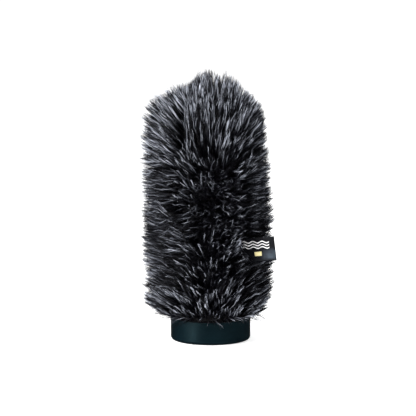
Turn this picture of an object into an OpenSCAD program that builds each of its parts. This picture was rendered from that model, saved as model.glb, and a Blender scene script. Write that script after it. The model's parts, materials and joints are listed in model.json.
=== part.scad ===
// Slip-on fur windshield for a shotgun microphone.
// A moulded collar with a rubber grip carries a blind foam core. A long-pile fur cover,
// sewn from one sleeve and four crown gores, is pulled over the foam and bound to the collar.
// Millimetres. +Z runs up the microphone's axis, and the origin is the middle of the collar's foot.

/* [Microphone grip] */
// Radius of the microphone body that the rubber grip holds
mic_r = 11; // [9.5:0.25:12]
// Rubber thickness round the microphone
grip_wall = 3.5; // [2.5:0.25:4]
// Height of the collar's inner tube that carries the rubber grip
boss_h = 24; // [20:1:28]
// Extra radius of the channel in the foam, so that the microphone slides in easily
channel_slack = 0.2; // [0.1:0.05:0.4]
// Height at which the blind channel in the foam ends
channel_top = 158; // [120:1:160]

/* [Collar] */
// Outer radius of the moulded collar
collar_r = 31; // [29.5:0.25:33]
// Height of the collar's outer wall, up to the fur's hem
collar_h = 17.5; // [16:0.5:20]
// Radius of the rounded edge round the collar's foot
foot_round = 2.5; // [1:0.5:4]
// Radius of the spigot that the cover is pulled over
spigot_r = 28.4; // [28:0.2:28.6]
// Height of the spigot's top edge
spigot_top = 34; // [32:1:40]
// Thickness of the collar's floor
floor_t = 4; // [3.5:0.25:5]
// Number of stiffening ribs under the foam
rib_count = 6; // [3:1:12]

/* [Fur cover] */
// Outer radius of the knitted backing
backing_r = 29.9; // [29.8:0.1:31]
// Height of the seam between the sleeve and the crown
crown_z = 134; // [110:1:145]
// Height of the knitted backing at the top of the crown
backing_top = 187; // [182:1:192]
// Radius of the backing's rounded shoulder
shoulder_r = 27; // [20:0.5:28]
// Thickness of the knitted backing
backing_t = 1; // [0.8:0.1:1]
// Outer radius of the standing pile
pile_r = 49.5; // [44:0.5:52]
// Height of the pile's tips over the crown
pile_top = 209; // [204:1:214]
// Radius of the pile's rounded shoulder
pile_shoulder = 42; // [30:1:43]
// Direction of the first crown seam, in degrees round from +X
crown_seam_az = -129; // [-150:1:-110]
// Direction of the sleeve's upright seam, in degrees round from +X
sleeve_seam_az = -51; // [-70:1:-40]

/* [Label] */
// Length of the ribbon tab that stands out of the sleeve seam
label_l = 30.5; // [20:0.5:36]
// Width of the ribbon
label_w = 18.5; // [12:0.5:22]
// Thickness of the folded ribbon
label_t = 1; // [0.8:0.1:1.4]
// Height of the ribbon's middle at the seam
label_z = 71.5; // [60:0.5:100]
// Direction in which the tab points, in degrees round from +X
label_az = -13.6; // [-20:0.2:0]
// Rise of the tab towards its free end, in degrees
label_tilt = 6.5; // [0:0.5:9]

/* [Hidden] */
$fn = 120;
gore_count = 4;
gore_angle = 360 / gore_count;
// Half of the slit between two sewn edges, and half of the thread line that fills it
slit = 0.4;
thread = 0.3;
// Room between pieces that only lie against each other
gap = 0.3;
fit_gap = 0.05;
// The grip's hole, its flange in the collar's foot and the bead over the inner tube
boss_bore_r = mic_r + grip_wall;
boss_t = 2.2;
boss_r = boss_bore_r + fit_gap + boss_t;
flange_w = 3.5;
flange_r = boss_bore_r + flange_w;
flange_t = 1.3;
recess_z = 1.6;
recess_slack = 0.2;
bead_w = 1.1;
bead_r = boss_bore_r + bead_w;
bead_h = 1.5;
bead_bevel = 0.4;
bead_foot = 0.2;
lead_in = 0.8;
// The spigot's wall and the ribs under the foam
spigot_wall = 2.2;
spigot_in_r = spigot_r - spigot_wall;
rib_t = 1.6;
rib_h = 8;
rib_top = floor_t + rib_h;
rib_start_az = 15;
rib_bite = 0.5;
// The foam core
foam_r = backing_r - backing_t - gap;
plug_slack = 0.2;
foam_plug_r = spigot_in_r - plug_slack;
foam_top = backing_top - backing_t - gap;
channel_r = mic_r + channel_slack;
channel_round = 4;
// The binding round the cover's lower edge, and the band that clamps it
tape_z = collar_h + gap;
tape_t = 0.9;
tape_h = 6.4;
tape_slack = 0.1;
tape_over = 0.7;
tape_in_r = spigot_r + tape_slack;
tape_out_r = backing_r + tape_over;
band_rise = 1.7;
band_z = tape_z + band_rise;
band_h = 4.6;
band_t = 1;
// The sleeve pile's flared lower edge: its rises over the band's foot, and its radii
flare_rise = [1, 8.5, 18.5];
flare_share = 0.885;
flare_z = [for (rise = flare_rise) band_z + rise];
flare_r = [tape_out_r + band_t + 2 * gap, flare_share * pile_r, pile_r];
// The label's hinge line, just outside the backing, and its swing each way
hinge_out = 1;
hinge_r = backing_r + hinge_out;
hinge = [hinge_r * cos(sleeve_seam_az), hinge_r * sin(sleeve_seam_az)];
swing_out = 20;
swing_in = 8;
label_rise = label_l * sin(label_tilt);
// Cutting shapes run this far past what they cut
past = 10;

// Half of a dome's section: a straight side, a rounded shoulder and a flat middle
module dome_profile(r, top, shoulder, bottom) {
    flat_r = r - shoulder;
    translate([0, bottom]) square([r, top - shoulder - bottom]);
    square_top = top - shoulder;
    translate([0, square_top]) square([flat_r, shoulder]);
    intersection() {
        translate([flat_r, square_top]) circle(r = shoulder);
        translate([0, square_top]) square([r, shoulder]);
    }
}

// One shell of the crown, as a section between an inner and an outer dome
module crown_profile(r_out, top_out, shoulder_out, r_in, top_in, shoulder_in, bottom) {
    difference() {
        dome_profile(r_out, top_out, shoulder_out, bottom);
        dome_profile(r_in, top_in, shoulder_in, bottom - 1);
    }
}

module backing_section(bottom) {
    crown_profile(backing_r, backing_top, shoulder_r,
        backing_r - backing_t, backing_top - backing_t, shoulder_r - backing_t, bottom);
}

module pile_section(bottom) {
    crown_profile(pile_r, pile_top, pile_shoulder,
        backing_r + gap, backing_top + gap, shoulder_r + gap, bottom);
}

// One gore of the crown: a quarter of the section, with a slit along each of its two edges
module gore(index, margin) {
    far = pile_r + past;
    intersection() {
        rotate_extrude() children();
        rotate(crown_seam_az + index * gore_angle)
            translate([margin, margin, 0]) cube([far, far, pile_top + past]);
    }
}

module upright_slot(az, half_width) {
    rotate(az) translate([0, -half_width, 0]) cube([pile_r + past, 2 * half_width, pile_top]);
}

// Collar: rigid moulding with a rounded foot, an inner tube for the grip and a spigot for the cover
module collar_shell() {
    color([0.05, 0.08, 0.09]) {
        rotate_extrude() {
            difference() {
                union() {
                    translate([0, 0]) square([collar_r - foot_round, foot_round]);
                    translate([collar_r - foot_round, foot_round]) circle(r = foot_round);
                    translate([0, foot_round]) square([collar_r, collar_h - foot_round]);
                    square([spigot_r, spigot_top]);
                }
                difference() {
                    translate([0, floor_t]) square([spigot_in_r, spigot_top]);
                    square([boss_r, boss_h]);
                }
                square([boss_bore_r + fit_gap, spigot_top]);
                square([flange_r + recess_slack, recess_z]);
            }
        }
        for (i = [0 : rib_count - 1])
            rotate(i * 360 / rib_count + rib_start_az)
                translate([boss_r - rib_bite, -rib_t / 2, floor_t - rib_bite])
                    cube([spigot_in_r - boss_r + 2 * rib_bite, rib_t, rib_h + rib_bite]);
    }
}

// Grip: soft rubber bush with a flange in the foot's recess and a bead over the inner tube
module grip_bush() {
    color([0.12, 0.12, 0.12])
        rotate_extrude()
            polygon([
                [mic_r + lead_in, recess_z - flange_t],
                [flange_r, recess_z - flange_t],
                [flange_r, recess_z],
                [boss_bore_r, recess_z],
                [boss_bore_r, boss_h],
                [bead_r, boss_h + bead_foot],
                [bead_r - bead_bevel, boss_h + bead_h],
                [mic_r, boss_h + bead_h],
                [mic_r, recess_z - flange_t + lead_in]
            ]);
}

// Foam: one block with a domed nose, a plug that sits in the spigot and a blind channel
module foam_core() {
    color([0.16, 0.16, 0.17])
        rotate_extrude()
            difference() {
                union() {
                    dome_profile(foam_r, foam_top, shoulder_r - backing_t - gap, spigot_top + gap);
                    translate([0, rib_top]) square([foam_plug_r, spigot_top + 1 - rib_top]);
                }
                translate([0, rib_top - 1]) square([boss_r + gap, boss_h + bead_h + gap + 1 - rib_top]);
                dome_profile(channel_r, channel_top, channel_round, rib_top - 1);
            }
}

// Binding: a folded tape round the raw lower edge of the sleeve's backing
module hem_tape() {
    color([0.08, 0.08, 0.09])
        rotate_extrude()
            difference() {
                translate([tape_in_r, tape_z]) square([tape_out_r - tape_in_r, tape_h]);
                translate([backing_r - backing_t - 0.05, tape_z + tape_t])
                    square([backing_t + 0.1, tape_h]);
            }
}

// Band: holds the bound hem on the spigot, hidden in the pile
module clamp_band() {
    color([0.2, 0.2, 0.21])
        rotate_extrude()
            translate([tape_out_r + fit_gap, band_z]) square([band_t, band_h]);
}

// Sleeve backing: knitted cloth, with the slit that the upright seam closes
module sleeve_backing() {
    bottom = tape_z + tape_t + 0.1;
    color([0.1, 0.1, 0.11])
        difference() {
            rotate_extrude()
                translate([backing_r - backing_t, bottom])
                    square([backing_t, crown_z - slit - bottom]);
            upright_slot(sleeve_seam_az, slit);
        }
}

// Upright seam: the thread line that closes the sleeve and holds the label
module sleeve_seam() {
    bottom = tape_z + tape_h + 0.1;
    color([0.06, 0.06, 0.06])
        rotate(sleeve_seam_az)
            translate([backing_r - backing_t, -thread, bottom])
                cube([backing_t, 2 * thread, crown_z - slit - 0.1 - bottom]);
}

// Ring seam: the thread line between the sleeve and the crown
module ring_seam() {
    color([0.06, 0.06, 0.06])
        rotate_extrude()
            translate([backing_r - backing_t, crown_z - thread]) square([backing_t, 2 * thread]);
}

// Crown seams: the four thread lines between the gores, which meet at the top
module crown_seams() {
    color([0.06, 0.06, 0.06])
        intersection() {
            rotate_extrude() backing_section(crown_z + slit);
            for (i = [0 : 1])
                rotate(crown_seam_az + i * gore_angle)
                    translate([-pile_r, -thread, 0]) cube([2 * pile_r, 2 * thread, pile_top]);
        }
}

// Crown backing: one knitted gore
module crown_backing(index) {
    color([0.1, 0.1, 0.11]) gore(index, slit) backing_section(crown_z + slit);
}

// Crown pile: the standing fur of one gore
module crown_pile(index) {
    color([0.3, 0.3, 0.32]) gore(index, gap) pile_section(crown_z + gap / 2);
}

// Room for the label and its swing inside the sleeve's pile: a wedge that opens outwards
module label_pocket() {
    clear = label_t / 2 + 2 * gap;
    margin = 2 * gap + 1;
    reach = 2 * pile_r;
    half_swing = (swing_in + swing_out) / 2;
    middle = label_az + (swing_in - swing_out) / 2;
    behind = clear / sin(half_swing);
    low = label_z - label_w / 2 - margin;
    high = label_z + label_w / 2 + label_rise + margin;
    translate([hinge[0], hinge[1], low])
        rotate(middle)
            translate([-behind, 0, 0])
                linear_extrude(high - low)
                    polygon([
                        [0, 0],
                        [reach * cos(half_swing), -reach * sin(half_swing)],
                        [reach * cos(half_swing), reach * sin(half_swing)]
                    ]);
}

// Sleeve pile: the standing fur of the sleeve, flared out from the hem
module sleeve_pile() {
    color([0.24, 0.24, 0.26])
        difference() {
            rotate_extrude()
                polygon([
                    [flare_r[0], flare_z[0]],
                    [flare_r[1], flare_z[1]],
                    [flare_r[2], flare_z[2]],
                    [pile_r, crown_z - gap / 2],
                    [backing_r + gap, crown_z - gap / 2],
                    [backing_r + gap, band_z + band_h + 3 * gap],
                    [flare_r[0], band_z + band_h + 2 * gap]
                ]);
            label_pocket();
        }
}

// Label: a woven ribbon folded in half, with both ends caught in the upright seam
module label() {
    fold_r = label_t / 2;
    color([0.03, 0.03, 0.03])
        translate([hinge[0], hinge[1], label_z])
            rotate([0, -label_tilt, label_az]) {
                translate([gap, -fold_r, -label_w / 2]) cube([label_l - gap - fold_r, label_t, label_w]);
                translate([label_l - fold_r, 0, -label_w / 2]) cylinder(r = fold_r, h = label_w);
            }
}

collar_shell();
grip_bush();
foam_core();
hem_tape();
clamp_band();
sleeve_backing();
sleeve_seam();
ring_seam();
crown_seams();
crown_backing(0);  // crown_backing_1
crown_backing(1);  // crown_backing_2
crown_backing(2);  // crown_backing_3
crown_backing(3);  // crown_backing_4
sleeve_pile();
crown_pile(0);  // crown_pile_1
crown_pile(1);  // crown_pile_2
crown_pile(2);  // crown_pile_3
crown_pile(3);  // crown_pile_4
label();
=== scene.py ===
# A slip-on fur windshield for a shotgun microphone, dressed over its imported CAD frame.
# Metres, +Z up the microphone's axis, -Y towards the side that the label reads from.
import json
import math

import bmesh
import bpy
import numpy as np
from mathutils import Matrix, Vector
from mathutils.kdtree import KDTree


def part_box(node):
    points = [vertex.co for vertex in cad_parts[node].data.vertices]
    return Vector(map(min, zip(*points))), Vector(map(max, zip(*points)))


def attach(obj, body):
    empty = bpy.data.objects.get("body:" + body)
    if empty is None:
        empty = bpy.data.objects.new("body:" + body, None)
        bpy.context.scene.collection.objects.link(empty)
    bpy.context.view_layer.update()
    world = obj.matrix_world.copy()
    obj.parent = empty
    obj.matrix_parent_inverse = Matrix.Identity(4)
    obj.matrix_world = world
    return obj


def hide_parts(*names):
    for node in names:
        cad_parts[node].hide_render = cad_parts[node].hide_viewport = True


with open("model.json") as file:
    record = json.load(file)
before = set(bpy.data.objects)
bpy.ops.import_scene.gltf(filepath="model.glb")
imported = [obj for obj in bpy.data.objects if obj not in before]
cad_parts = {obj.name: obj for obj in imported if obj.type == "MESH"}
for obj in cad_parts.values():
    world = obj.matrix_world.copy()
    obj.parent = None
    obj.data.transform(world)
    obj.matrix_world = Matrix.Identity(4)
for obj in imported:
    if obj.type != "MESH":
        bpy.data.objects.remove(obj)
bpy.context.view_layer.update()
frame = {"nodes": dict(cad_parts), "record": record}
nodes = frame["nodes"]
MM = 0.001

# -------------------------------------------- Collar
# The collar is one rigid black moulding that the whole cover is bound to. It comes from a
# fine-spark mould, so it is satin and a little blue-green, with a faintly cloudy gloss.


def new_material(name, **sockets):
    """A material with its Principled shader, whose own sockets hold the constant values."""
    material = bpy.data.materials.new(name)
    material.use_nodes = True
    shader = material.node_tree.nodes["Principled BSDF"]
    for socket, value in sockets.items():
        shader.inputs[socket.replace("_", " ")].default_value = value
    return material, shader


def add_node(tree, kind, inputs=None, **settings):
    """A node with its settings, whose inputs are numbers, colours or other nodes' outputs."""
    node = tree.nodes.new(kind)
    for key, value in settings.items():
        setattr(node, key, value)
    for key, value in (inputs or {}).items():
        if isinstance(value, bpy.types.NodeSocket):
            tree.links.new(value, node.inputs[key])
        else:
            node.inputs[key].default_value = value
    return node


def add_ramp(tree, factor, stops):
    """A colour ramp over (place, colour) stops."""
    ramp = add_node(tree, "ShaderNodeValToRGB", {"Fac": factor})
    band = ramp.color_ramp
    while len(band.elements) < len(stops):
        band.elements.new(0.5)
    for element, (place, colour) in zip(band.elements, stops):
        element.position = place
        element.color = (*colour, 1.0)
    return ramp.outputs["Color"]


def add_bump(tree, shader, height, distance, strength=1.0):
    """Gives the shader a bump of a height."""
    bump = add_node(tree, "ShaderNodeBump",
                    {"Height": height, "Distance": distance, "Strength": strength})
    tree.links.new(bump.outputs["Normal"], shader.inputs["Normal"])


def add_gloss(tree, shader, cloud, smoothest, roughest):
    """Lets the shader's roughness drift between two values with a cloud."""
    gloss = add_node(tree, "ShaderNodeMapRange", {
        "Value": cloud, "From Min": 0.3, "From Max": 0.7,
        "To Min": smoothest, "To Max": roughest})
    tree.links.new(gloss.outputs["Result"], shader.inputs["Roughness"])


def make_grain_group():
    """Cloudy tone and fine moulded or worn grain, shared by the plastic, rubber and band."""
    group = bpy.data.node_groups.new("moulded_grain", "ShaderNodeTree")
    for name, start in (("Cloud Scale", 60.0), ("Grain Scale", 2500.0)):
        socket = group.interface.new_socket(name, in_out="INPUT", socket_type="NodeSocketFloat")
        socket.default_value = start
    group.interface.new_socket("Cloud", in_out="OUTPUT", socket_type="NodeSocketFloat")
    group.interface.new_socket("Grain", in_out="OUTPUT", socket_type="NodeSocketFloat")
    inside = group.nodes.new("NodeGroupInput")
    outside = group.nodes.new("NodeGroupOutput")
    place = group.nodes.new("ShaderNodeTexCoord").outputs["Object"]
    cloud = add_node(group, "ShaderNodeTexNoise",
                     {"Vector": place, "Scale": inside.outputs["Cloud Scale"], "Detail": 4.0})
    grain = add_node(group, "ShaderNodeTexNoise",
                     {"Vector": place, "Scale": inside.outputs["Grain Scale"], "Detail": 2.0})
    group.links.new(cloud.outputs["Fac"], outside.inputs["Cloud"])
    group.links.new(grain.outputs["Fac"], outside.inputs["Grain"])
    return group


grain_group = make_grain_group()


def grained(name, dark, light, rough, cloud_scale, grain_scale, grain_depth, **sockets):
    """A moulded finish: tone and roughness drift with the cloud, and the grain is a fine bump."""
    material, shader = new_material(name, **sockets)
    tree = material.node_tree
    grain = add_node(tree, "ShaderNodeGroup", node_tree=grain_group)
    grain.inputs["Cloud Scale"].default_value = cloud_scale
    grain.inputs["Grain Scale"].default_value = grain_scale
    colour = add_ramp(tree, grain.outputs["Cloud"], [(0.3, dark), (0.7, light)])
    tree.links.new(colour, shader.inputs["Base Color"])
    add_gloss(tree, shader, grain.outputs["Cloud"], *rough)
    add_bump(tree, shader, grain.outputs["Grain"], grain_depth, 0.6)
    return material


def dress(node_name, material):
    """Puts a material on a CAD node as it stands."""
    slots = nodes[node_name].material_slots
    for place in slots:
        place.material = material
    if not slots:
        nodes[node_name].data.materials.append(material)


collar_plastic = grained("collar_plastic", dark=(0.0010, 0.0048, 0.0075),
                         light=(0.0018, 0.0080, 0.0120), rough=(0.34, 0.44), cloud_scale=45.0,
                         grain_scale=3200.0, grain_depth=0.00003, IOR=1.36,
                         Specular_Tint=(0.5, 0.9, 1.0, 1.0))
dress("collar_shell", collar_plastic)

# -------------------------------------------- Microphone grip
# A soft rubber bush, pushed into the collar's inner tube. Its flange lies in the foot's recess,
# and the microphone's body squeezes through it. Moulded rubber, matt and a little dusty.

grip_rubber = grained("grip_rubber", dark=(0.012, 0.012, 0.013), light=(0.022, 0.022, 0.023),
                      rough=(0.62, 0.8), cloud_scale=90.0, grain_scale=1800.0,
                      grain_depth=0.00006, Specular_IOR_Level=0.4)
dress("grip_bush", grip_rubber)

# -------------------------------------------- Foam core
# One block of open-cell polyurethane foam with a domed nose and a blind channel for the
# microphone. It is cut and sanded, so its skin is open cells, and it is glued into the collar.

foam_low, foam_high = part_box("foam_core")
grip_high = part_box("grip_bush")[1]
BACKING_R = 29.9 * MM
SHOULDER_R = 27.0 * MM
FOAM_R = foam_high.x
CHANNEL_R = 11.2 * MM
CHANNEL_TOP = 158.0 * MM
CHANNEL_ROUND = 4.0 * MM
SPIGOT_TOP = 34.0 * MM
BOSS_CLEAR_R = 17.05 * MM
FOAM_PLUG_R = 26.0 * MM
FOAM_GAP = 0.3 * MM


def arc_points(centre, radius, start, end, steps):
    """Points on an arc in the (r, z) plane, angles in degrees from +r."""
    angles = [math.radians(start + (end - start) * i / steps) for i in range(steps + 1)]
    return [(centre[0] + radius * math.cos(a), centre[1] + radius * math.sin(a)) for a in angles]


def finish_mesh(name, bm, material, smooth=True):
    """Closes a bmesh into an object with its normals outwards."""
    bmesh.ops.remove_doubles(bm, verts=bm.verts, dist=1e-6)
    bmesh.ops.recalc_face_normals(bm, faces=bm.faces)
    mesh = bpy.data.meshes.new(name)
    bm.to_mesh(mesh)
    bm.free()
    if smooth:
        mesh.shade_smooth()
    piece = bpy.data.objects.new(name, mesh)
    bpy.context.scene.collection.objects.link(piece)
    mesh.materials.append(material)
    return piece


def spin_profile(profile, steps, closed, start=0.0, sweep=360.0):
    """A turned shape: the (r, z) profile is spun about the axis. A part turn gets end caps."""
    bm = bmesh.new()
    turn = math.radians(start)
    verts = [bm.verts.new((r * math.cos(turn), r * math.sin(turn), z)) for r, z in profile]
    edges = [bm.edges.new(pair) for pair in zip(verts, verts[1:])]
    if closed:
        edges.append(bm.edges.new((verts[-1], verts[0])))
    full = abs(sweep - 360.0) < 1e-6
    if not full:
        bm.faces.new(verts)
    spun = bmesh.ops.spin(bm, geom=edges, cent=(0, 0, 0), axis=(0, 0, 1), steps=steps,
                          angle=math.radians(sweep), use_merge=full, use_duplicate=False)
    if not full:
        last = [e for e in spun["geom_last"] if isinstance(e, bmesh.types.BMEdge)]
        bmesh.ops.contextual_create(bm, geom=last)
    return bm


def foam_profile():
    """Half of the foam's section, from the channel's blind end round to the domed nose."""
    nose_r = SHOULDER_R - (BACKING_R - FOAM_R)
    nose = arc_points((FOAM_R - nose_r, foam_high.z - nose_r), nose_r, 0, 90, 14)
    blind = arc_points((CHANNEL_R - CHANNEL_ROUND, CHANNEL_TOP - CHANNEL_ROUND), CHANNEL_ROUND,
                       90, 0, 5)
    grip_clear = grip_high.z + FOAM_GAP
    return ([(0.0, CHANNEL_TOP)] + blind
            + [(CHANNEL_R, grip_clear), (BOSS_CLEAR_R, grip_clear), (BOSS_CLEAR_R, foam_low.z)]
            + [(FOAM_PLUG_R, foam_low.z), (FOAM_PLUG_R, SPIGOT_TOP + FOAM_GAP)]
            + [(FOAM_R, SPIGOT_TOP + FOAM_GAP)] + nose + [(0.0, foam_high.z)])


def make_foam_skin():
    """Open cells: dark pits with lighter struts between them."""
    material, shader = new_material("open_cell_foam", Roughness=0.95, Specular_IOR_Level=0.2)
    tree = material.node_tree
    place = tree.nodes.new("ShaderNodeTexCoord").outputs["Object"]
    cells = add_node(tree, "ShaderNodeTexVoronoi", {"Vector": place, "Scale": 1100.0})
    colour = add_ramp(tree, cells.outputs["Distance"],
                      [(0.1, (0.004, 0.004, 0.005)), (0.6, (0.045, 0.045, 0.048))])
    tree.links.new(colour, shader.inputs["Base Color"])
    add_bump(tree, shader, cells.outputs["Distance"], 0.0004, 0.8)
    return material


foam_block = finish_mesh("foam_block", spin_profile(foam_profile(), 96, False), make_foam_skin())
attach(foam_block, "windscreen")
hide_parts("foam_core")

# -------------------------------------------- Knitted backing
# The pile stands in a knitted cloth. One strip is closed into the sleeve, and four gores are
# sewn into the crown, so each is its own panel with a slit along every sewn edge.

BACKING_T = 1.0 * MM
SLIT = 0.4 * MM
CROWN_Z = 134.0 * MM
CLOTH_FOOT = 18.8 * MM
BACKING_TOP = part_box("crown_backing_1")[1].z
CROWN_EYE_R = 1.2 * MM
GORES = 4
GORE_ANGLE = 90.0
GORE_START = -129.0
SEAM_TURN = -51.0


def maths(tree, operation, *values):
    """The result of one Math node, whose values are numbers or other nodes' outputs."""
    return add_node(tree, "ShaderNodeMath", dict(enumerate(values)),
                    operation=operation).outputs[0]


def make_knit_group():
    """Rows of loops round the axis: how high the cloth stands at a turn and a level."""
    group = bpy.data.node_groups.new("rows_of_loops", "ShaderNodeTree")
    for name, start in (("Columns", 150.0), ("Rows", 900.0)):
        socket = group.interface.new_socket(name, in_out="INPUT", socket_type="NodeSocketFloat")
        socket.default_value = start
    group.interface.new_socket("Height", in_out="OUTPUT", socket_type="NodeSocketFloat")
    inside = group.nodes.new("NodeGroupInput")
    outside = group.nodes.new("NodeGroupOutput")
    place = group.nodes.new("ShaderNodeTexCoord").outputs["Object"]
    parts = add_node(group, "ShaderNodeSeparateXYZ", {"Vector": place})
    turn = maths(group, "ARCTAN2", parts.outputs["Y"], parts.outputs["X"])
    columns = maths(group, "MULTIPLY", turn, inside.outputs["Columns"])
    rows = maths(group, "MULTIPLY", parts.outputs["Z"], inside.outputs["Rows"])
    across = maths(group, "SINE", columns)
    along = maths(group, "SINE", maths(group, "MULTIPLY_ADD", across, 1.2, rows))
    loops = maths(group, "ADD", across, along)
    height = maths(group, "MULTIPLY_ADD", loops, 0.25, 0.5)
    group.links.new(height, outside.inputs["Height"])
    return group


knit_group = make_knit_group()


def knitted(name, columns, rows, dark, light, depth, **sockets):
    """A cloth of loops or ribs round the axis."""
    material, shader = new_material(name, Roughness=0.85, **sockets)
    tree = material.node_tree
    loops = add_node(tree, "ShaderNodeGroup", node_tree=knit_group)
    loops.inputs["Columns"].default_value = columns
    loops.inputs["Rows"].default_value = rows
    colour = add_ramp(tree, loops.outputs["Height"], [(0.15, dark), (0.85, light)])
    tree.links.new(colour, shader.inputs["Base Color"])
    add_bump(tree, shader, loops.outputs["Height"], depth)
    return material


backing_knit = knitted("backing_knit", columns=150.0, rows=5200.0, dark=(0.004, 0.004, 0.005),
                       light=(0.014, 0.014, 0.016), depth=0.0003, Sheen_Weight=0.2)


def cloth_panel(name, profile, start, sweep, steps):
    """A cloth panel: its thin section turned through part of the circle."""
    return finish_mesh(name, spin_profile(profile, steps, True, start, sweep), backing_knit, False)


slit_turn = math.degrees(SLIT / BACKING_R)
sleeve_section = [(BACKING_R - BACKING_T, CLOTH_FOOT), (BACKING_R, CLOTH_FOOT)]
sleeve_section += [(BACKING_R, CROWN_Z - SLIT), (BACKING_R - BACKING_T, CROWN_Z - SLIT)]
sleeve_cloth = cloth_panel("sleeve_cloth", sleeve_section, SEAM_TURN + slit_turn,
                           360.0 - 2 * slit_turn, 120)
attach(sleeve_cloth, "windscreen")
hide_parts("sleeve_backing")

flat_r = BACKING_R - SHOULDER_R
dome_z = BACKING_TOP - SHOULDER_R
outer_dome = arc_points((flat_r, dome_z), SHOULDER_R, 0, 88, 16)
inner_dome = arc_points((flat_r, dome_z), SHOULDER_R - BACKING_T, 88, 0, 16)
gore_section = [(BACKING_R, CROWN_Z + SLIT)] + outer_dome + [(CROWN_EYE_R, BACKING_TOP)]
gore_section += [(CROWN_EYE_R, BACKING_TOP - BACKING_T)] + inner_dome
gore_section += [(BACKING_R - BACKING_T, CROWN_Z + SLIT)]
for gore in range(GORES):
    crown_cloth = cloth_panel(f"crown_cloth_{gore + 1}", gore_section,
                              GORE_START + gore * GORE_ANGLE + slit_turn,
                              GORE_ANGLE - 2 * slit_turn, 30)
    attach(crown_cloth, "windscreen")
    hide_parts(f"crown_backing_{gore + 1}")

# -------------------------------------------- Seams, binding and band
# Black polyester thread closes the slits. A folded woven tape binds the cover's cut lower edge,
# and a rubber band clamps the bound hem round the collar's spigot.

seam_thread = knitted("seam_thread", columns=420.0, rows=9000.0, dark=(0.003, 0.003, 0.003),
                      light=(0.012, 0.012, 0.013), depth=0.0002, Sheen_Weight=0.1)
for seam in ("sleeve_seam", "ring_seam", "crown_seams"):
    dress(seam, seam_thread)
binding_tape = knitted("binding_tape", columns=260.0, rows=3600.0, dark=(0.001, 0.001, 0.0015),
                       light=(0.005, 0.005, 0.006), depth=0.0002, Specular_IOR_Level=0.1)
dress("hem_tape", binding_tape)
band_rubber = grained("band_rubber", dark=(0.02, 0.02, 0.021), light=(0.035, 0.035, 0.036),
                      rough=(0.55, 0.7), cloud_scale=120.0, grain_scale=1500.0,
                      grain_depth=0.00005)
dress("clamp_band", band_rubber)

# -------------------------------------------- Ribbon label
# A black woven ribbon, folded in half at its free end, with both ends caught in the sleeve's
# upright seam. It stands out of the fur a little askew, and its two plies part slightly.

label_joint = frame["record"]["behaviour"]["joints"][0]
LABEL_HINGE = Vector(label_joint["pos_m"])
SWING_IN = math.radians(label_joint["range_deg"][1])
SWING_OUT = math.radians(-label_joint["range_deg"][0])
LABEL_TURN = math.radians(-13.6)
LABEL_TILT = math.radians(6.5)
LABEL_L = 30.4 * MM
LABEL_W = 18.5 * MM
LABEL_T = 1.0 * MM
PLY_T = 0.34 * MM
LABEL_BOW = 0.55 * MM
LABEL_SLACK = 0.35 * MM
SLACK_WAVES = 2.2
SLACK_START = 0.6
SEWN_GAP = 0.3 * MM
PLIES_PART = 6 * MM
WARP_RATE = 14000.0
WEFT_RATE = 18000.0

label_flat = Vector((math.cos(LABEL_TURN), math.sin(LABEL_TURN), 0.0))
label_along = label_flat * math.cos(LABEL_TILT) + Vector((0, 0, math.sin(LABEL_TILT)))
label_front = Vector((math.sin(LABEL_TURN), -math.cos(LABEL_TURN), 0.0))
label_up = label_front.cross(label_along)


def ribbon_curl(along, across):
    """How far the ribbon stands off its plane: a slow bow, and a wave in its slack edges."""
    share = along / LABEL_L
    bow = LABEL_BOW * math.sin(math.pi * share)
    wave = math.sin(SLACK_WAVES * math.pi * share + SLACK_START)
    return bow + LABEL_SLACK * wave * (across / (LABEL_W / 2)) * share


def on_ribbon(along, across, out=0.0):
    """A point at a distance along and across the label, and out from its middle surface."""
    lift = ribbon_curl(along, across) + out
    return LABEL_HINGE + label_along * along + label_up * across + label_front * lift


def ribbon_loop(half_gap):
    """The folded ribbon's path, as (along, out) points from one sewn end round to the other."""
    reach = LABEL_L - half_gap
    steps = 24
    front = []
    for i in range(steps + 1):
        along = SEWN_GAP + (reach - SEWN_GAP) * i / steps
        front.append((along, half_gap * (0.35 + 0.65 * min(1.0, along / PLIES_PART))))
    fold = [(reach + x, y) for x, y in arc_points((0, 0), half_gap, 75, -75, 6)]
    back = [(along, -out) for along, out in reversed(front)]
    return front + fold + back


def sweep_ribbon(path):
    """The ribbon's cloth along its path, with a UV map in metres along and across."""
    bm = bmesh.new()
    rows = 16
    uv = bm.loops.layers.uv.new("weave")
    start = [bm.verts.new(on_ribbon(path[0][0], LABEL_W * (i / rows - 0.5), path[0][1]))
             for i in range(rows + 1)]
    edges = [bm.edges.new(pair) for pair in zip(start, start[1:])]
    travelled = 0.0
    for (along, out), (last_along, last_out) in zip(path[1:], path):
        step = math.hypot(along - last_along, out - last_out)
        extruded = bmesh.ops.extrude_edge_only(bm, edges=edges)["geom"]
        verts = [g for g in extruded if isinstance(g, bmesh.types.BMVert)]
        low, high = start[0].co.copy(), start[-1].co.copy()
        verts.sort(key=lambda v: (v.co - low).dot(high - low))
        for i, vert in enumerate(verts):
            vert.co = on_ribbon(along, LABEL_W * (i / rows - 0.5), out)
        fresh = set(verts)
        column = {vert: i / rows for i, vert in enumerate(verts)}
        column.update({vert: i / rows for i, vert in enumerate(start)})
        for face in [g for g in extruded if isinstance(g, bmesh.types.BMFace)]:
            for loop in face.loops:
                u = travelled + (step if loop.vert in fresh else 0.0)
                loop[uv].uv = (u, column[loop.vert] * LABEL_W)
        edges = [g for g in extruded if isinstance(g, bmesh.types.BMEdge)
                 and all(v in fresh for v in g.verts)]
        start = verts
        travelled += step
    return bm, travelled


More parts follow.
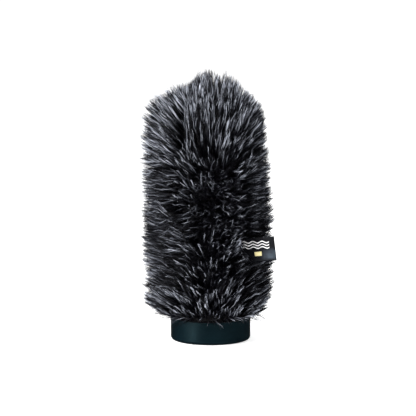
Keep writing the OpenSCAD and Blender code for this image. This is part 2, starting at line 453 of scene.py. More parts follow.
def make_ribbon_cloth():
    """A fine black plain weave, worn a little, with a painted bluish sheen at its slack free
    corner.
    """
    material, shader = new_material("ribbon_cloth", Sheen_Weight=0.04, Specular_IOR_Level=0.2,
                                    Sheen_Tint=(0.55, 0.6, 0.75, 1.0))
    tree = material.node_tree
    uv = add_node(tree, "ShaderNodeUVMap", uv_map="weave").outputs["UV"]
    place = add_node(tree, "ShaderNodeSeparateXYZ", {"Vector": uv})
    along, across = place.outputs["X"], place.outputs["Y"]
    warp = maths(tree, "SINE", maths(tree, "MULTIPLY", along, WARP_RATE))
    weft = maths(tree, "SINE", maths(tree, "MULTIPLY", across, WEFT_RATE))
    weave = maths(tree, "MULTIPLY_ADD", maths(tree, "MULTIPLY", warp, weft), 0.5, 0.5)
    # Wear noise: it drifts the black and the gloss, and also mottles the painted sheen below.
    wear_and_sheen = add_node(tree, "ShaderNodeTexNoise",
                    {"Vector": uv, "Scale": 260.0, "Detail": 3.0}).outputs["Fac"]
    black = add_ramp(tree, maths(tree, "MULTIPLY", weave, wear_and_sheen),
                     [(0.0, (0.001, 0.001, 0.002)), (0.6, (0.003, 0.004, 0.008))])
    # Painted light: a bluish grey sheen, mottled by the wear noise, towards the slack free corner.
    # It fades in along the ribbon, fades out above, and stops short of the lower selvedge.
    slack = wear_and_sheen
    for reading, none, full in ((along, 0.6 * LABEL_L, 0.82 * LABEL_L),
                                (across, 0.55 * LABEL_W, 0.3 * LABEL_W),
                                (across, 0.02 * LABEL_W, 0.16 * LABEL_W)):
        fade = add_node(tree, "ShaderNodeMapRange",
                        {"Value": reading, "From Min": none, "From Max": full})
        slack = maths(tree, "MULTIPLY", slack, fade.outputs["Result"])
    # Mixes the painted bluish sheen over the black weave.
    cloth = add_node(tree, "ShaderNodeMix", {0: slack, 6: black, 7: (0.075, 0.10, 0.13, 1.0)},
                     data_type="RGBA")
    tree.links.new(cloth.outputs[2], shader.inputs["Base Color"])
    add_gloss(tree, shader, wear_and_sheen, 0.42, 0.62)
    add_bump(tree, shader, weave, 0.00006)
    return material


ribbon_bm, ribbon_length = sweep_ribbon(ribbon_loop(LABEL_T / 2 - PLY_T / 2))
ribbon = finish_mesh("ribbon_label", ribbon_bm, make_ribbon_cloth())
ply = ribbon.modifiers.new("ply", "SOLIDIFY")
ply.thickness = PLY_T
ply.offset = 0.0
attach(ribbon, "label_tab")
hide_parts("label")

# -------------------------------------------- Woven mark
# The ribbon's mark is a plain pattern in raised thread: three white wavy lines, for wind, over
# a short pale-yellow bar. Each is satin stitch that stands a little proud of the front ply.

MARK_OUT = LABEL_T / 2 + 0.03 * MM
THREAD_T = 0.16 * MM
LINE_START = 5.0 * MM
LINE_L = 21.2 * MM
LINE_LEVELS = (5.9 * MM, 3.8 * MM, 1.7 * MM)
LINE_HALF_W = 0.44 * MM
LINE_WAVES = 3
WAVE_H = 0.65 * MM
LINE_SAG = 1.1 * MM
BAR_START = 14.2 * MM
BAR_L = 5.6 * MM
BAR_LEVEL = -3.0 * MM
BAR_HALF_W = 1.7 * MM


def ordered(new_face, old_face):
    """The new face's corners in the old face's order, each nearest to its old place."""
    left = list(new_face.verts)
    found = []
    for old in old_face.verts:
        closest = min(left, key=lambda v: (v.co - old.co).length)
        left.remove(closest)
        found.append(closest)
    return found


def thread_strip(middle, half_width, steps):
    """A raised strip of satin stitch along a line of (along, across) points on the front ply."""
    bm = bmesh.new()
    end = None
    for i in range(steps + 1):
        along, across = middle(i / steps)
        rise = THREAD_T * math.sin(math.pi * min(1.0, 8.0 * min(i, steps - i) / steps + 0.15) / 2)
        outline = ((-half_width, 0.0), (-0.7 * half_width, rise), (0.7 * half_width, rise),
                   (half_width, 0.0))
        points = [on_ribbon(along, across + w, MARK_OUT + lift) for w, lift in outline]
        if end is None:
            end = bm.faces.new([bm.verts.new(p) for p in points])
            continue
        made = bmesh.ops.extrude_face_region(bm, geom=[end])
        new_end = [g for g in made["geom"] if isinstance(g, bmesh.types.BMFace)][0]
        for vert, point in zip(ordered(new_end, end), points):
            vert.co = point
        if i > 1:
            bmesh.ops.delete(bm, geom=[end], context="FACES_ONLY")
        end = new_end
    return bm


def satin_thread(name, dark, light):
    """Close satin stitches across a strip, in a slightly glossy thread."""
    material, shader = new_material(name, Roughness=0.5, Sheen_Weight=0.3)
    tree = material.node_tree
    place = tree.nodes.new("ShaderNodeTexCoord").outputs["Object"]
    turned = add_node(tree, "ShaderNodeMapping",
                      {"Vector": place, "Rotation": (0.0, 0.0, -LABEL_TURN)})
    stitches = add_node(tree, "ShaderNodeTexWave", {
        "Vector": turned.outputs["Vector"], "Scale": 900.0, "Distortion": 1.5,
        "Detail": 2.0, "Detail Scale": 1.0})
    colour = add_ramp(tree, stitches.outputs["Fac"], [(0.1, dark), (0.6, light)])
    tree.links.new(colour, shader.inputs["Base Color"])
    add_bump(tree, shader, stitches.outputs["Fac"], 0.00006)
    return material


def wind_line(level):
    """The middle of one wavy line at a level across the label."""
    def place(share):
        across = level + LINE_SAG * (0.6 - share)
        across += WAVE_H * math.sin(share * LINE_WAVES * 2 * math.pi)
        return LINE_START + LINE_L * share, across
    return place


def bar_line(share):
    """The middle of the bar."""
    return BAR_START + BAR_L * share, BAR_LEVEL


white_thread = satin_thread("white_thread", (0.62, 0.62, 0.62), (0.9, 0.9, 0.9))
yellow_thread = satin_thread("pale_yellow_thread", (0.62, 0.52, 0.2), (0.85, 0.76, 0.42))

for number, level in enumerate(LINE_LEVELS):
    strip = thread_strip(wind_line(level), LINE_HALF_W, 60)
    line = finish_mesh(f"wind_line_{number + 1}", strip, white_thread)
    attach(line, "label_tab")
bar = finish_mesh("bar_mark", thread_strip(bar_line, BAR_HALF_W, 20), yellow_thread)
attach(bar, "label_tab")

# -------------------------------------------- Fur
# Long acrylic pile stands in the backing. Fine short hairs fill it, and longer crimped guard
# hairs with grey and silver fibres among them draw together into pointed locks.

HEM_Z = 18.6 * MM
STRAIGHT = dome_z - HEM_Z
DOME_ARC = math.pi / 2 * SHOULDER_R
FULL_ARC = STRAIGHT + DOME_ARC + flat_r
CROWN_ARC = CROWN_Z - HEM_Z
# The band under the hem pushes the lowest roots out.
SWELL = 1.6 * MM
SWELL_FLAT = 5 * MM
SWELL_FADE = 4 * MM

fur_rng = np.random.default_rng(20)


def strand_template(rings, girth):
    """One closed three-sided strand: its corners as (ring share, x, y), and its triangles."""
    bm = bmesh.new()
    bmesh.ops.create_cone(bm, cap_ends=True, cap_tris=True, segments=3, radius1=1.0, radius2=0.0,
                          depth=1.0)
    bmesh.ops.translate(bm, verts=bm.verts, vec=(0, 0, 0.5))
    for i in range(1, rings):
        bmesh.ops.bisect_plane(bm, geom=bm.verts[:] + bm.edges[:] + bm.faces[:],
                               plane_co=(0, 0, i / rings), plane_no=(0, 0, 1))
    bmesh.ops.triangulate(bm, faces=bm.faces)
    bmesh.ops.recalc_face_normals(bm, faces=bm.faces)
    bm.verts.index_update()
    corners = []
    for vert in bm.verts:
        share = round(vert.co.z * rings) / rings
        flat = Vector((vert.co.x, vert.co.y))
        if flat.length > 1e-6:
            flat = flat.normalized() * girth(share)
        corners.append((share, flat.x, flat.y))
    triangles = [[v.index for v in face.verts] for face in bm.faces]
    bm.free()
    return np.array(corners), np.array(triangles)


# The two kinds of hair: roots per square millimetre, girths and crimp in millimetres, lengths
# as shares of their lock's, how far they draw in to it, and how much darker they are.
GUARD_HAIR = {
    "per_mm2": 1.08, "girth": (0.13, 0.23), "length": (0.9, 1.02), "crimp": 0.34,
    "gather": 0.88, "darker": 0.0,
    "template": strand_template(7, lambda share: (1 - share ** 3) ** 0.8 + 0.02),
}
DOWN_HAIR = {
    "per_mm2": 1.2, "girth": (0.10, 0.16), "length": (0.6, 0.93), "crimp": 0.2,
    "gather": 0.7, "darker": 0.12,
    "template": strand_template(2, lambda share: 1 - 0.6 * share),
}


def backing_point(arc, turn):
    """Points and outward normals on the backing, at lengths up from the hem and turns."""
    on_side = arc <= STRAIGHT
    rise = np.clip((arc - STRAIGHT) / SHOULDER_R, 0, math.pi / 2)
    radius = flat_r + SHOULDER_R * np.cos(rise)
    radius = np.where(arc > STRAIGHT + DOME_ARC, FULL_ARC - arc, radius)
    swell = SWELL * np.clip(1 - (arc - SWELL_FLAT) / SWELL_FADE, 0, 1)
    radius = np.where(on_side, BACKING_R + swell, radius)
    height = np.where(on_side, HEM_Z + arc, dome_z + SHOULDER_R * np.sin(rise))
    out = np.stack([np.cos(turn), np.sin(turn), np.zeros_like(turn)], -1)
    up = np.array([0.0, 0.0, 1.0])
    normal = out * np.cos(rise)[..., None] + up * np.sin(rise)[..., None]
    point = out * radius[..., None] + up * height[..., None]
    return point, normal


def ring_radius(arc):
    """The backing's radius at lengths up from the hem."""
    return np.linalg.norm(backing_point(arc, np.zeros_like(arc))[0][:, :2], axis=1)


def scatter_roots(count, arc_range, turn_range):
    """Roots spread evenly over the backing between two lengths from the hem and two turns."""
    grid = np.linspace(*arc_range, 600)
    ring = ring_radius(grid)
    share = np.concatenate([[0], np.cumsum((ring[1:] + ring[:-1]) / 2)])
    arc = np.interp(fur_rng.random(count), share / share[-1], grid)
    turn = turn_range[0] + (turn_range[1] - turn_range[0]) * fur_rng.random(count)
    return arc, turn


def wrap(turn):
    """An angle brought to within half a turn of nothing."""
    return (turn + math.pi) % (2 * math.pi) - math.pi


# How the fur is combed, up the cover: its rise above level on the side away from the label, on
# the label's side and in front, and its disorder, all in degrees.
COMBED_AT = np.array([18, 30, 45, 60, 80, 100, 118, 130, 140, 150, 165, 180, 195, 220]) * MM
LEFT_RISE = [30, 28, 26, 24, 14, 4, -2, 6, 20, 32, 42, 50, 64, 90]
RIGHT_RISE = [34, 32, 30, 26, 24, 24, 24, 24, 28, 36, 52, 58, 68, 90]
FRONT_RISE = [38, 38, 36, 28, 14, 6, 8, 20, 40, 56, 68, 74, 80, 90]
DISORDER = [11, 8, 11, 16, 22, 26, 26, 24, 18, 11, 8, 7, 7, 7]
# The fur leans away from its partings, which in the crown lie a little beside the seams. Leans
# are in degrees, and widths in millimetres round the backing.
PARTING = GORE_START + 6.0
CROWN_PART_LEAN = 34
CROWN_PART_W = 5.5
SEAM_PART_LEAN = 24
SEAM_PART_W = 5.0
ROUND_MM = 30
# Half way up, the front is brushed sideways where it is away from the label. In front of the
# label it is brushed over the seam, on to the label's sewn end: past 1, the lean turns round.
BRUSHED_LEAN = 24
BRUSHED_Z = 88 * MM
BRUSHED_H = 34 * MM
SEWN_END_Z = LABEL_HINGE.z - 7 * MM
SEWN_END_H = 12 * MM
OVER_SEAM = 2.8
# The front's combing fades into the sides' by this power of its facing. In the crown it fills
# the front gore instead, with a short fade, in degrees, across the gore's edges.
FRONT_FADE = 1.5
GORE_HALF = GORE_ANGLE / 2
EDGE_FADE = 8
CROWN_FADE = 8 * MM


def beside(turn, seam, width):
    """Which side of a seam a hair stands on, fading from 1 at the seam over a width."""
    away = wrap(turn - math.radians(seam))
    return np.sign(away) * np.exp(-(away * ROUND_MM / width) ** 2)


def near(height, middle, spread):
    """1 at a height, fading over a spread above and below it."""
    return np.exp(-((height - middle) / spread) ** 2)


def combing(arc, turn):
    """How the fur is combed: rise above level and sideways lean, in radians, and disorder."""
    height = arc + HEM_Z
    left = np.interp(height, COMBED_AT, LEFT_RISE)
    right = np.interp(height, COMBED_AT, RIGHT_RISE)
    front = np.interp(height, COMBED_AT, FRONT_RISE)
    frontness = np.abs(np.sin(turn)) ** FRONT_FADE
    from_middle = np.abs(np.degrees(wrap(turn - math.radians(PARTING + GORE_HALF))))
    in_gore = np.clip(0.5 + (GORE_HALF - from_middle) / EDGE_FADE, 0, 1)
    in_gore = np.maximum(in_gore, np.clip(np.sin(turn), 0, 1) ** FRONT_FADE)
    in_crown = np.clip((height - CROWN_Z) / CROWN_FADE, 0, 1)
    frontness = frontness + (in_gore - frontness) * in_crown
    side = (left + right) / 2 + (right - left) / 2 * np.cos(turn)
    rise = side + (front - side) * frontness
    disorder = np.interp(height, COMBED_AT, DISORDER)
    disorder *= 0.5 + 0.5 * np.abs(np.sin(turn))
    lean = np.zeros_like(arc)
    for gore in range(GORES):
        parted = beside(turn, PARTING + GORE_ANGLE * gore, CROWN_PART_W)
        lean += CROWN_PART_LEAN * parted * (arc > CROWN_ARC)
    round_front = np.clip(wrap(turn + math.pi / 2), -math.pi / 2, 0.0)
    lean += BRUSHED_LEAN * np.sin(2 * round_front) * near(height, BRUSHED_Z, BRUSHED_H)
    parted = beside(turn, SEAM_TURN, SEAM_PART_W)
    by_label = (parted < 0) * near(height, SEWN_END_Z, SEWN_END_H)
    lean += SEAM_PART_LEAN * parted * (arc < CROWN_ARC) * (1 - OVER_SEAM * by_label)
    return np.radians(rise), np.radians(lean), np.radians(disorder)


def comb_direction(turn, rise, lean):
    """Unit directions from a rise above level and a lean round from straight out."""
    heading = turn + lean
    return np.stack([np.cos(heading) * np.cos(rise), np.sin(heading) * np.cos(rise),
                     np.sin(rise)], -1)


def nearest(points, centres):
    """For each point, the index of the nearest centre."""
    tree = KDTree(len(centres))
    for index, centre in enumerate(centres):
        tree.insert(centre, index)
    tree.balance()
    return np.array([tree.find(point)[1] for point in points])


# Big locks, 6 to 7 mm apart, lean each its own way. Small locks, of three hairs or so, take a
# share of their big lock's lean and its trim, and their tips draw in to it.
BIG_LOCKS = 760
SMALL_LOCKS = 24000
BIG_SHARE = 0.5
OWN_SHARE = 0.55
ALL_ROUND = (-math.pi, math.pi)

big_arc, big_turn = scatter_roots(BIG_LOCKS, (0, FULL_ARC), ALL_ROUND)
big_root = backing_point(big_arc, big_turn)[0]
big_disorder = combing(big_arc, big_turn)[2]
big_rise_off = big_disorder * fur_rng.normal(0, 1, BIG_LOCKS)
big_lean_off = big_disorder * fur_rng.normal(0, 1, BIG_LOCKS)
big_trim = fur_rng.uniform(0.9, 1.04, BIG_LOCKS)

small_arc, small_turn = scatter_roots(SMALL_LOCKS, (0, FULL_ARC), ALL_ROUND)
small_root, small_normal = backing_point(small_arc, small_turn)
small_big = nearest(small_root, big_root)
small_rise, small_lean, small_disorder = combing(small_arc, small_turn)
small_rise += BIG_SHARE * big_rise_off[small_big]
small_rise += OWN_SHARE * small_disorder * fur_rng.normal(0, 1, SMALL_LOCKS)
small_lean += BIG_SHARE * big_lean_off[small_big]
small_lean += OWN_SHARE * small_disorder * fur_rng.normal(0, 1, SMALL_LOCKS)
small_tip_dir = comb_direction(small_turn, small_rise, small_lean)

# Some small locks are grey or silver: more of them at the hem, in the crown and by the label.
# The crown's larger share is partly painted light, brightening the top as the light from above
# would. A tone runs from 0, black, to 1, silver.
LIGHTS_AT = np.array([18, 40, 70, 110, 140, 165, 230]) * MM
LIGHT_SHARES_PARTLY_PAINTED = [0.28, 0.16, 0.13, 0.18, 0.24, 0.33, 0.37]
LIGHTS_BY_LABEL = 0.35
LABEL_LIGHTS_W = 12
LABEL_LIGHTS_H = 10 * MM
LIGHT_FROM = 0.85
LIGHT_TOPS_AT = np.array([40, 70, 125, 145]) * MM
LIGHT_TOPS = [1.04, 0.97, 0.97, 1.04]
DARK_FROM = 0.3
DARK_TOPS_AT = np.array([55, 75, 120, 140]) * MM
DARK_TOPS = [0.81, 0.84, 0.86, 0.82]
small_height = small_arc + HEM_Z
off_label = wrap(small_turn - math.radians(SEAM_TURN - LABEL_LIGHTS_W))
beside_label = near(small_height, SEWN_END_Z, LABEL_LIGHTS_H)
beside_label *= np.exp(-(off_label / math.radians(LABEL_LIGHTS_W)) ** 2)
light_share = np.interp(small_height, LIGHTS_AT, LIGHT_SHARES_PARTLY_PAINTED) + LIGHTS_BY_LABEL * beside_label
is_light = fur_rng.random(SMALL_LOCKS) < light_share
dark_top = np.interp(small_height, DARK_TOPS_AT, DARK_TOPS)
light_top = np.interp(small_height, LIGHT_TOPS_AT, LIGHT_TOPS)
light_tone = LIGHT_FROM + (light_top - LIGHT_FROM) * fur_rng.random(SMALL_LOCKS)
dark_tone = DARK_FROM + (dark_top - DARK_FROM) * fur_rng.random(SMALL_LOCKS)
small_tone = np.where(is_light, light_tone, dark_tone)

# The combed coat's depth over the backing, from the hem up the sleeve and over the dome, on
# either side. It is fuller on the side away from the label.
DEPTHS_AT = np.array([14, 20, 28, 40, 60, 90, 125, 142, 151, 162, 168, 175, 181, 186, 189, 194,
                      198, 203]) * MM
LEFT_DEPTHS = np.array([4, 17, 23.5, 25.5, 25.5, 26, 26.5, 27.5, 26.5, 27, 27.5, 27.5, 22, 18.5,
                        14, 18.5, 22, 23.5]) * MM
RIGHT_DEPTHS = np.array([2, 12, 18.5, 21, 21.5, 21.5, 20, 19, 16, 15.5, 16.5, 17, 17, 16, 15.5,
                         16, 22, 20.5]) * MM


def coat_depth(points):
    """The combed coat's depth over the backing where these points are."""
    r = np.hypot(points[:, 0], points[:, 1])
    over = np.maximum(points[:, 2] - dome_z, 0)
    up = np.where(over > 0, dome_z + SHOULDER_R * np.arctan2(over, np.maximum(r - flat_r, 1e-6)),
                  points[:, 2])
    left = np.interp(up, DEPTHS_AT, LEFT_DEPTHS)
    right = np.interp(up, DEPTHS_AT, RIGHT_DEPTHS)
    return (left + right) / 2 + (right - left) / 2 * points[:, 0] / np.maximum(r, 1e-6)


def over_backing(points):
    """How far points stand outside the backing."""
    r = np.hypot(points[:, 0], points[:, 1])
    dome = np.hypot(np.maximum(r - flat_r, 0), points[:, 2] - dome_z) - SHOULDER_R
    return np.where(points[:, 2] > dome_z, dome, r - BACKING_R)


# At the top the locks are drawn together to two peaks with a dip between them.
CROWN_PEAKS = np.array([[-1.5, -2.0, 211.5], [6.0, 0.0, 204.5], [13.5, -4.0, 213.5]]) * MM
PEAK_EDGES = np.array([2, 7]) * MM
PEAK_DRAW = 0.5
# A lock leaves the cloth between its normal and the combed direction, bends into the latter,
# and draws in to its big lock's middle towards the tip.
FROM_CLOTH = 0.6
COMBED = 0.7
TIP_DRAW = 0.46
FIRST_LENGTH = 22 * MM
small_peak = CROWN_PEAKS[np.digitize(small_root[:, 0], PEAK_EDGES)]
small_draw = np.interp(small_arc - STRAIGHT, [0.5 * DOME_ARC, 0.8 * DOME_ARC], [0, PEAK_DRAW])
small_length = np.full(SMALL_LOCKS, FIRST_LENGTH)


def lock_line(share):
    """Points on every small lock's middle line at shares of its length, tip drawn to its lock."""
    first = small_normal * FROM_CLOTH + small_tip_dir * COMBED
    first /= np.linalg.norm(first, axis=1)[:, None]
    way = first * (share - share ** 2 / 2) + small_tip_dir * share ** 2 / 2
    line = small_root + way * small_length[:, None]
    pull = big_root[small_big] - small_root
    pull = pull - small_tip_dir * np.sum(pull * small_tip_dir, axis=1)[:, None]
    return line + pull * TIP_DRAW * share ** 1.6


# A big lock's outer hairs are trimmed shorter than its middle ones, which points it. Then each
# small lock's length is brought to the coat's depth where its tip ends, in a few steps.
LOCK_R = 3.4 * MM
MIDDLE_TRIM = 1.05
POINTING = 0.12
LEAST_DEPTH = 3 * MM
SHORTEST = 12 * MM
LONGEST = 31 * MM
small_phase = fur_rng.uniform(0, 2 * math.pi, (SMALL_LOCKS, 2))
small_pitch = fur_rng.uniform(1.0, 2.2, SMALL_LOCKS)
small_cross = fur_rng.normal(0, 1, (SMALL_LOCKS, 3))
small_trim = big_trim[small_big] * fur_rng.uniform(0.96, 1.02, SMALL_LOCKS)
from_middle = np.linalg.norm(small_root - big_root[small_big], axis=1) / LOCK_R
small_trim *= MIDDLE_TRIM - POINTING * np.minimum(from_middle, 1.5) ** 1.5
for _ in range(4):
    tips = lock_line(1.0)
    ratio = coat_depth(tips) * small_trim / np.maximum(over_backing(tips), LEAST_DEPTH)
    small_length = np.clip(small_length * ratio ** 0.8, SHORTEST, LONGEST)


def drawn_line(share):
    """The small locks' lines, those by the top drawn together to the two peaks."""
    line = lock_line(share)
    return line + (small_peak - line) * (small_draw * share ** 2)[:, None]


# The ribbon's half thickness with room for its curl, on its front and its back, and how far
# the fur covers its sewn end: further along its lower edge.
LABEL_ROOM = 0.9 * MM
LABEL_ABOVE = 2.8 * MM
CURL_START = 9 * MM
FRONT_CURL = 1.1 * MM
BACK_CURL = 0.8 * MM
COVERED = 5 * MM
COVERED_MORE = 4 * MM
COVERED_SLANT = 1.1


def clear_of_label(points, root_side):
    """Hair pushed out of the wedge that the ribbon needs to swing in, each to its own side."""
    rel = points - np.array(LABEL_HINGE)
    along = rel @ np.array(label_flat)
    out = rel @ np.array(label_front)
    high = rel @ np.array(label_up)
    reach = np.clip(along, 0, None)
    inside = (along > -2 * MM) & (np.abs(high) < LABEL_W / 2 + LABEL_ABOVE)
    curl = np.clip(reach / CURL_START, 0, 1)
    room_front = LABEL_ROOM + FRONT_CURL * curl + reach * math.tan(SWING_OUT)
    room_back = LABEL_ROOM + BACK_CURL * curl + reach * math.tan(SWING_IN)
    want = np.where(root_side > 0, np.maximum(out, room_front), np.minimum(out, -room_back))
    cover = COVERED + COVERED_MORE * fur_rng.random((len(points), 1))
    cover = cover + COVERED_SLANT * np.maximum(-high - 1 * MM, 0)
    past = np.maximum(along - cover, 0)
    slide = np.where(inside & (root_side > 0), past, 0)
    move = np.where(inside, want - out, 0)
    return (points + np.array(label_front) * move[..., None]
            - np.array(label_flat) * slide[..., None])


# No hair stands out past this radius. One hair in twelve strays from its lock, and of the
# lowest ones in front and behind, half or more hang down and aside over the collar's edge.
COAT_R = 61.0 * MM
STRAY_SHARE = 0.08
STRAY = 2.6 * MM
TIDY = 0.35 * MM
HANGING_ARC = 3 * MM
HANGING_SHARE = 0.6
HANGING_DOWN = 10.5 * MM
HANGING_ASIDE = 5 * MM
PHASE_SPREAD = 0.35
TONE_SPREAD = 0.05


def stray_tips(arc, turn):
    """How far each hair's tip strays from its lock."""
    count = len(arc)
    wild = np.where(fur_rng.random(count) < STRAY_SHARE, STRAY, TIDY)
    stray = np.clip(fur_rng.normal(0, 1, (count, 3)), -1.6, 1.6) * wild[:, None]
    hanging = (arc < HANGING_ARC) & (fur_rng.random(count) < HANGING_SHARE * np.abs(np.sin(turn)))
    aside = HANGING_ASIDE * np.sin(2 * turn) * np.sign(np.sin(turn))
    stray[:, 2] -= np.where(hanging, HANGING_DOWN, 0)
    stray[:, 0] += np.where(hanging, aside, 0)
    return stray


def grow(hair, arc_range, turn_range, area):
    """One kind of hair over a patch: mesh points and triangles, and each point's reach and tone."""
    count = int(area * hair["per_mm2"])
    arc, turn = scatter_roots(count, arc_range, turn_range)
    girth = fur_rng.uniform(*hair["girth"], count) * MM
    length_share = fur_rng.uniform(*hair["length"], count)
    corners, triangles = hair["template"]
    root = backing_point(arc, turn)[0]
    lock = nearest(root, small_root)
    shares = np.unique(corners[:, 0])
    apart = root - small_root[lock]
    phase = small_phase[lock] + fur_rng.normal(0, PHASE_SPREAD, (count, 2))
    pitch = small_pitch[lock]
    side = np.cross(small_tip_dir[lock], small_cross[lock])
    side /= np.linalg.norm(side, axis=1)[:, None]
    other = np.cross(side, small_tip_dir[lock])
    stray = stray_tips(arc, turn)
    line = []
    for share in shares:
        middle = drawn_line(share)[lock]
        middle = small_root[lock] + (middle - small_root[lock]) * length_share[:, None]
        point = middle + apart * (1 - hair["gather"] * share ** 0.6)
        swing = hair["crimp"] * MM * min(1.0, 2.5 * share)
        point += side * (swing * np.sin(pitch * 2 * math.pi * share + phase[:, 0]))[:, None]
        point += other * (swing * np.sin(pitch * 2 * math.pi * share + phase[:, 1]))[:, None]
        line.append(point + stray * share ** 2)
    line = np.stack(line, 1)
    line_r = np.hypot(line[..., 0], line[..., 1])
    line[..., :2] *= np.minimum(1, COAT_R / np.maximum(line_r, COAT_R))[..., None]
    root_side = np.sign((root - np.array(LABEL_HINGE)) @ np.array(label_front))
    line = clear_of_label(line, np.repeat(root_side[:, None], len(shares), 1))
    ring = np.searchsorted(shares, corners[:, 0])
    round_line = (side[:, None, :] * corners[None, :, 1, None]
                  + other[:, None, :] * corners[None, :, 2, None])
    points = line[:, ring, :] + round_line * girth[:, None, None]
    faces = triangles[None] + (np.arange(count) * len(corners))[:, None, None]
    reach = np.repeat(corners[None, :, 0], count, 0) * length_share[:, None]
    tone = small_tone[lock] + fur_rng.normal(0, TONE_SPREAD, count)
    tone = np.repeat(tone[:, None], len(corners), 1) - hair["darker"]
    return points.reshape(-1, 3), faces.reshape(-1, 3), reach.ravel(), tone.ravel()


def make_fur_fibre():
    """Acrylic fibre, black to silver by its tone, with painted shade at its root, and darker at its
    very tip.
    """
    material, shader = new_material("fur_fibre", Roughness=0.36, Specular_IOR_Level=0.2)
    tree = material.node_tree
    tone = add_node(tree, "ShaderNodeAttribute", attribute_name="tone").outputs["Fac"]
    reach = add_node(tree, "ShaderNodeAttribute", attribute_name="reach").outputs["Fac"]
    colour = add_ramp(tree, tone, [
        (0.45, (0.002, 0.002, 0.003)), (0.75, (0.008, 0.008, 0.011)),
        (0.88, (0.135, 0.145, 0.175)), (1.0, (0.66, 0.70, 0.80))])
    # Painted shade: the fibre is darkened towards its root, where the coat would shade it, and also
    # darkened at its very tip.
    shade = add_ramp(tree, reach, [
        (0.3, (0.02, 0.02, 0.03)), (0.75, (1, 1, 1)), (0.88, (1, 1, 1)), (1.0, (0.3, 0.3, 0.33))])
    shaded = add_node(tree, "ShaderNodeMix", {0: 1.0, 6: colour, 7: shade},
                      data_type="RGBA", blend_type="MULTIPLY")
    tree.links.new(shaded.outputs[2], shader.inputs["Base Color"])
    return material


fur_fibre = make_fur_fibre()


def fur_patch(name, arc_range, turn_range, replaced):
    """One patch of the fur: guard hairs and down over a stretch of the backing."""
    ring = ring_radius(np.linspace(*arc_range, 400))
    area = ring.mean() * (arc_range[1] - arc_range[0]) * (turn_range[1] - turn_range[0]) / MM ** 2
    guard = grow(GUARD_HAIR, arc_range, turn_range, area)
    down = grow(DOWN_HAIR, arc_range, turn_range, area)
    points = np.concatenate([guard[0], down[0]])
    faces = np.concatenate([guard[1], down[1] + len(guard[0])])
    mesh = bpy.data.meshes.new(name)
    mesh.from_pydata(points.tolist(), [], faces.tolist())
    for label, values in (("reach", (guard[2], down[2])), ("tone", (guard[3], down[3]))):
        layer = mesh.attributes.new(label, "FLOAT", "POINT")
        layer.data.foreach_set("value", np.concatenate(values).astype(np.float32))
    mesh.shade_smooth()
    mesh.materials.append(fur_fibre)
    patch = bpy.data.objects.new(name, mesh)
    bpy.context.scene.collection.objects.link(patch)
    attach(patch, "windscreen")
    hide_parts(replaced)


SLEEVE_PATCHES = 8
patch_turn = 2 * math.pi / SLEEVE_PATCHES
for number in range(SLEEVE_PATCHES):
    start = math.radians(SEAM_TURN) + number * patch_turn
    fur_patch(f"sleeve_fur_{number + 1}", (0, CROWN_ARC), (start, start + patch_turn),
              "sleeve_pile")
gore_turn = math.radians(GORE_ANGLE)
for gore in range(GORES):
    start = math.radians(GORE_START + GORE_ANGLE * gore)
    fur_patch(f"crown_fur_{gore + 1}", (CROWN_ARC, FULL_ARC), (start, start + gore_turn),
              f"crown_pile_{gore + 1}")

# -------------------------------------------- Floor, light and camera
# A plain white sweep under a soft key lamp from the upper left. A tall lamp draws the streak of
# light down the collar, and weak fill and back lamps open the shadows. The lens is a long one.

FLOOR_DROP = 0.2 * MM

floor_bm = bmesh.new()
bmesh.ops.create_grid(floor_bm, x_segments=2, y_segments=2, size=6.0)
bmesh.ops.translate(floor_bm, verts=floor_bm.verts, vec=(0, 0, -FLOOR_DROP))
floor_paint, floor_shader = new_material("floor_paint", Roughness=0.9, Emission_Strength=0.65,
                                         Emission_Color=(1.0, 1.0, 1.0, 1.0))
floor_tree = floor_paint.node_tree
floor_cloud = add_node(floor_tree, "ShaderNodeTexNoise", {"Scale": 3.0})
floor_tree.links.new(add_ramp(floor_tree, floor_cloud.outputs["Fac"],
                              [(0.0, (0.95, 0.95, 0.95)), (1.0, (0.97, 0.97, 0.97))]),
                     floor_shader.inputs["Base Color"])
floor = finish_mesh("floor", floor_bm, floor_paint)
floor.visible_glossy = False


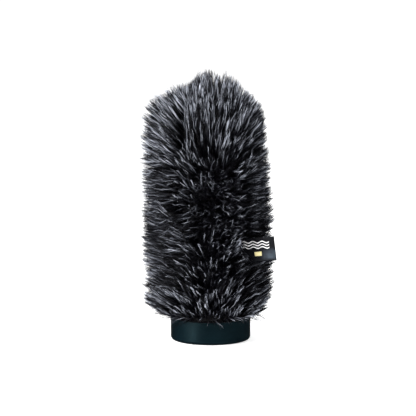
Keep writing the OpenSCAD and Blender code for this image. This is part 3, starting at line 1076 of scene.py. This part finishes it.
def soft_lamp(name, place, target, size, power, colour=(1.0, 1.0, 1.0)):
    """A square area lamp turned towards a point."""
    data = bpy.data.lights.new(name, "AREA")
    data.size = size
    data.energy = power
    data.color = colour
    lamp = bpy.data.objects.new(name, data)
    lamp.location = place
    lamp.visible_camera = False
    lamp.rotation_euler = (Vector(target) - Vector(place)).to_track_quat("-Z", "Y").to_euler()
    bpy.context.scene.collection.objects.link(lamp)
    return data


soft_lamp("key_lamp", place=(-0.8, -0.8, 1.2), target=(0, 0, 0.12), size=0.5, power=31.0)
strip_data = soft_lamp("strip_lamp", place=(-1.0, -0.78, 0.2), target=(0, 0, 0.1), size=0.25,
                       power=7.0)
strip_data.shape = "RECTANGLE"
strip_data.size_y = 0.4
soft_lamp("fill_lamp", place=(1.0, -0.6, 0.6), target=(0, 0, 0.1), size=0.8, power=0.6,
          colour=(0.8, 0.93, 1.0))
soft_lamp("back_lamp", place=(0.0, 1.0, 1.2), target=(0, 0, 0.15), size=0.8, power=2.5)

# The room is bright overhead and dark at the horizon, and plain white to the camera itself.
world = bpy.data.worlds.new("white_room")
world.use_nodes = True
world_tree = world.node_tree
background = world_tree.nodes["Background"]
background.inputs["Color"].default_value = (1.0, 1.0, 1.0, 1.0)
sky = add_node(world_tree, "ShaderNodeTexCoord").outputs["Generated"]
sky_up = add_node(world_tree, "ShaderNodeSeparateXYZ", {"Vector": sky}).outputs["Z"]
overhead = add_node(world_tree, "ShaderNodeMapRange", {
    "Value": sky_up, "From Min": 0.0, "From Max": 1.0, "To Min": 0.03, "To Max": 1.25})
seen = add_node(world_tree, "ShaderNodeLightPath").outputs["Is Camera Ray"]
strength = add_node(world_tree, "ShaderNodeMix", {0: seen, 2: overhead.outputs["Result"], 3: 1.1})
world_tree.links.new(strength.outputs[0], background.inputs["Strength"])
bpy.context.scene.world = world
bpy.context.scene.view_settings.view_transform = "Standard"

CAMERA_PLACE = Vector((-0.002, -1.2, 0.233))
CAMERA_AIM = Vector((-0.002, 0.0, 0.1022))
camera_data = bpy.data.cameras.new("camera")
camera_data.lens = 135.0
camera_data.sensor_width = 36.0
camera_data.clip_end = 20.0
camera = bpy.data.objects.new("camera", camera_data)
camera.location = CAMERA_PLACE
camera.rotation_euler = (CAMERA_AIM - CAMERA_PLACE).to_track_quat("-Z", "Y").to_euler()
bpy.context.scene.collection.objects.link(camera)
bpy.context.scene.camera = camera
